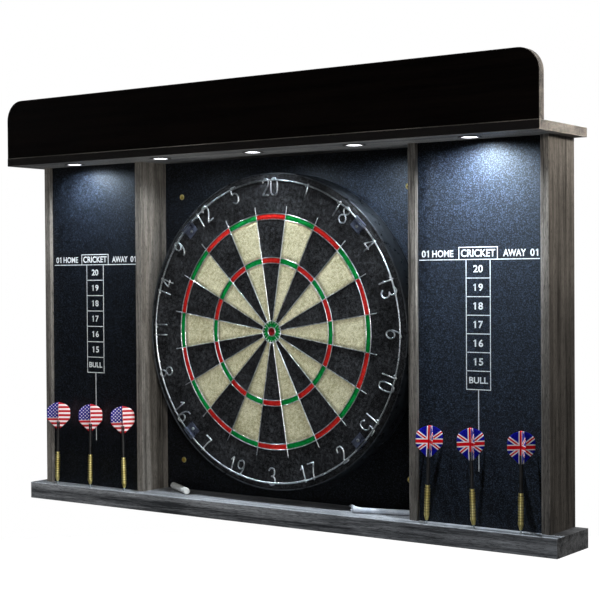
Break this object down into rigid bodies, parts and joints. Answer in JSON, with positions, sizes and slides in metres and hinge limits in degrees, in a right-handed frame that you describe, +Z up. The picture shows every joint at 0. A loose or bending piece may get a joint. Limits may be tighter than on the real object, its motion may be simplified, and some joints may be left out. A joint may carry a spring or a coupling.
{
  "type": "dart board cabinet",
  "caption": "Wall-hung dart board cabinet: lit header shelf, two chalk scoreboards, a bristle board on a hanging bracket, and darts standing in holes of the bottom tray.",
  "frame": {"origin": "on the wall plane, straight behind the centre of the bull", "axes": "+X to the viewer's right along the header, +Y into the wall, +Z up"},
  "size_m": [0.924, 0.136, 0.631],
  "materials": {
    "grey_oak_laminate": "grey-brown wood grain laminate, satin",
    "espresso_laminate": "near-black wood grain laminate, satin",
    "black_speckled_board": "black painted board with a fine orange-peel speckle",
    "raw_wood": "plain sawn softwood",
    "zinc_steel": "zinc-plated steel",
    "brass": "turned brass",
    "black_plastic": "fine matt moulding",
    "lit_lens": "lit diffuser",
    "circuit_board": "white solder mask",
    "wire_insulation": "soft insulation",
    "battery_sleeve": "printed sleeve, plain",
    "red_plastic": "gloss rocker",
    "backing_board": "hardboard",
    "sisal": "pressed black sisal",
    "black_steel_band": "black painted steel",
    "bright_wire": "bright galvanised wire",
    "black_rubber": "rubber",
    "flight_stars": "printed film, red, white and blue",
    "flight_crosses": "printed film, red, white and blue",
    "chalk": "dusty chalk",
    "white_cloth": "white cotton"
  },
  "bodies": {
    "root": {"side_panel_left": "grey_oak_laminate", "side_panel_right": "grey_oak_laminate", "divider_left": "grey_oak_laminate", "divider_right": "grey_oak_laminate", "header_shelf": "grey_oak_laminate", "bottom_tray": "grey_oak_laminate", "header_fascia": "espresso_laminate", "back_panel": "black_speckled_board", "scoreboard_left": "black_speckled_board", "scoreboard_right": "black_speckled_board", "scoreboard_cleats": "raw_wood", "fascia_blocks": "raw_wood", "cabinet_screws": "zinc_steel", "wall_eyelets": "brass", "led_cans": "black_plastic", "led_lenses": "lit_lens", "led_circuit_boards": "circuit_board", "led_wiring": "wire_insulation", "wire_clips": "black_plastic", "battery_box": "black_plastic", "battery_cells": "battery_sleeve", "board_bracket": "zinc_steel", "bracket_screws": "zinc_steel"},
    "battery_cover": {"battery_cover": "black_plastic"},
    "power_switch": {"power_switch": "red_plastic"},
    "board_hanger": {"hanging_screw": "zinc_steel"},
    "dartboard": {"board_backing": "backing_board", "board_sisal": "sisal", "board_rim": "black_steel_band", "wire_spider": "bright_wire", "board_spacers": "black_rubber", "ring_clips": "bright_wire", "ring_clip_pins": "bright_wire"},
    "number_ring": {"number_ring": "bright_wire"},
    "left_dart_1": {"left_dart_1_point": "bright_wire", "left_dart_1_barrel": "brass", "left_dart_1_stem": "black_plastic", "left_dart_1_flight": "flight_stars"},
    "left_dart_2": {"left_dart_2_point": "bright_wire", "left_dart_2_barrel": "brass", "left_dart_2_stem": "black_plastic", "left_dart_2_flight": "flight_stars"},
    "left_dart_3": {"left_dart_3_point": "bright_wire", "left_dart_3_barrel": "brass", "left_dart_3_stem": "black_plastic", "left_dart_3_flight": "flight_stars"},
    "right_dart_1": {"right_dart_1_point": "bright_wire", "right_dart_1_barrel": "brass", "right_dart_1_stem": "black_plastic", "right_dart_1_flight": "flight_crosses"},
    "right_dart_2": {"right_dart_2_point": "bright_wire", "right_dart_2_barrel": "brass", "right_dart_2_stem": "black_plastic", "right_dart_2_flight": "flight_crosses"},
    "right_dart_3": {"right_dart_3_point": "bright_wire", "right_dart_3_barrel": "brass", "right_dart_3_stem": "black_plastic", "right_dart_3_flight": "flight_crosses"},
    "chalk_stick": {"chalk_stick": "chalk"},
    "cleaning_cloth": {"cleaning_cloth": "white_cloth"}
  },
  "joints": [
    {"name": "battery_cover_slide", "type": "slide", "parent": "root", "child": "battery_cover", "axis": [1, 0, 0], "range_m": [0, 0.06]},
    {"name": "power_switch_rock", "type": "hinge", "parent": "root", "child": "power_switch", "pos_m": [0.072, -0.041, 0.285], "axis": [0, -1, 0], "range_deg": [-16, 0]},
    {"name": "board_lift", "type": "slide", "parent": "root", "child": "board_hanger", "axis": [0, 0, 1], "range_m": [0, 0.024]},
    {"name": "board_turn", "type": "hinge", "parent": "board_hanger", "child": "dartboard", "pos_m": [0, -0.0605, 0], "axis": [0, 1, 0], "continuous": true},
    {"name": "number_ring_slide", "type": "slide", "parent": "dartboard", "child": "number_ring", "axis": [0, -1, 0], "range_m": [0, 0.03]},
    {"name": "left_dart_1_lift", "type": "slide", "parent": "root", "child": "left_dart_1", "axis": [0.0349, 0, 0.9994], "range_m": [0, 0.06]},
    {"name": "left_dart_2_lift", "type": "slide", "parent": "root", "child": "left_dart_2", "axis": [0.014, 0, 0.9999], "range_m": [0, 0.06]},
    {"name": "left_dart_3_lift", "type": "slide", "parent": "root", "child": "left_dart_3", "axis": [-0.0244, 0, 0.9997], "range_m": [0, 0.06]},
    {"name": "right_dart_1_lift", "type": "slide", "parent": "root", "child": "right_dart_1", "axis": [0.0454, 0, 0.999], "range_m": [0, 0.06]},
    {"name": "right_dart_2_lift", "type": "slide", "parent": "root", "child": "right_dart_2", "axis": [-0.0332, 0, 0.9995], "range_m": [0, 0.06]},
    {"name": "right_dart_3_lift", "type": "slide", "parent": "root", "child": "right_dart_3", "axis": [0.0105, 0, 0.9999], "range_m": [0, 0.06]},
    {"name": "chalk_lift", "type": "slide", "parent": "root", "child": "chalk_stick", "axis": [0, 0, 1], "range_m": [0, 0.06]},
    {"name": "cloth_lift", "type": "slide", "parent": "root", "child": "cleaning_cloth", "axis": [0, 0, 1], "range_m": [0, 0.045]}
  ]
}
